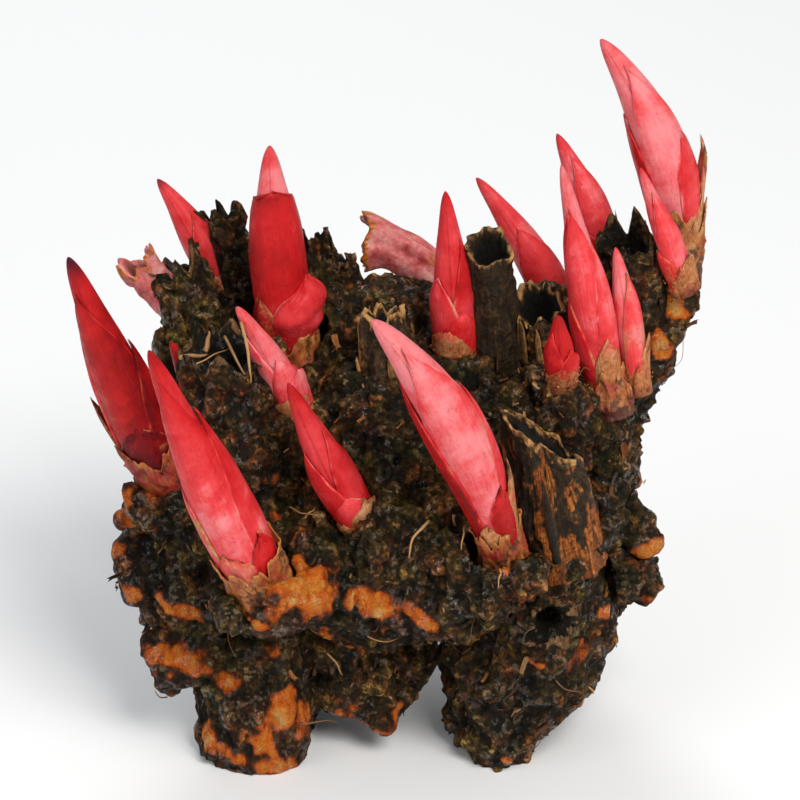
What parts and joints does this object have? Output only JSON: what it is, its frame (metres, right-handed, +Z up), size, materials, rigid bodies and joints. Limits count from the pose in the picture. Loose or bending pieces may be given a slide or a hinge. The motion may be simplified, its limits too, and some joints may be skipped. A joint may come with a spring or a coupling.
{
  "type": "peony root tuber",
  "caption": "Dug-up herbaceous peony root: a knobbly dark crown on cut storage roots, with hollow old stem stubs and pointed red winter buds in overlapping scales.",
  "frame": {"origin": "middle of the base, in the plane that the four cut roots stand on", "axes": "+Z up, as it stands with its buds pointing up; -Y is the side that the picture shows, and +X is to the right there"},
  "size_m": [0.1154, 0.0882, 0.1335],
  "materials": {
    "crown_bark": "dark olive-brown woody crown with damp soil crust and orange-brown bark patches",
    "root_skin": "thin orange-brown corky root skin, soiled, with a slight damp sheen",
    "bud_scales": "smooth coral-red to crimson bud scales, waxy, with paler streaks and papery edges",
    "dry_husk": "torn dry papery sheath, tan to orange-brown, slightly translucent",
    "old_stem": "weathered fibrous stem wood, grey-brown, with pale torn rims",
    "broken_shoot": "fleshy pink shoot with a ragged dry brown edge"
  },
  "bodies": {
    "root": {"crown": "crown_bark", "bud_left_outer": "bud_scales", "bud_left_front": "bud_scales", "bud_back_tall": "bud_scales", "bud_left_back": "bud_scales", "bud_left_small": "bud_scales", "bud_centre_left": "bud_scales", "bud_centre_front": "bud_scales", "bud_centre_upright": "bud_scales", "bud_behind": "bud_scales", "bud_right_back": "bud_scales", "bud_right_tall": "bud_scales", "bud_right_companion": "bud_scales", "bud_top_right": "bud_scales", "bud_right_slim": "bud_scales", "bud_small_round": "bud_scales", "bud_left_tiny": "bud_scales", "husk_left_front": "dry_husk", "husk_left_outer": "dry_husk", "husk_centre_front": "dry_husk", "husk_back_tall": "dry_husk", "husk_right_tall": "dry_husk", "husk_top_right": "dry_husk", "broken_shoot_left": "broken_shoot", "broken_shoot_back": "broken_shoot", "old_stem_centre": "old_stem", "old_stem_right": "old_stem", "old_stem_slant": "old_stem", "old_stem_left": "old_stem", "old_stem_back_left": "old_stem", "old_stem_far_left": "old_stem", "old_stem_back": "old_stem", "old_stem_thin": "old_stem", "old_stem_middle": "old_stem", "old_stem_notch": "old_stem", "old_stem_front": "old_stem", "root_front_right": "root_skin", "root_front_left": "root_skin", "root_left_middle": "root_skin", "root_left_upper": "root_skin", "root_centre_small": "root_skin", "root_right_flake": "root_skin", "root_right_thin": "root_skin", "root_stub_left": "root_skin", "root_back_left": "root_skin", "root_back_right": "root_skin", "root_back": "root_skin"}
  },
  "joints": []
}
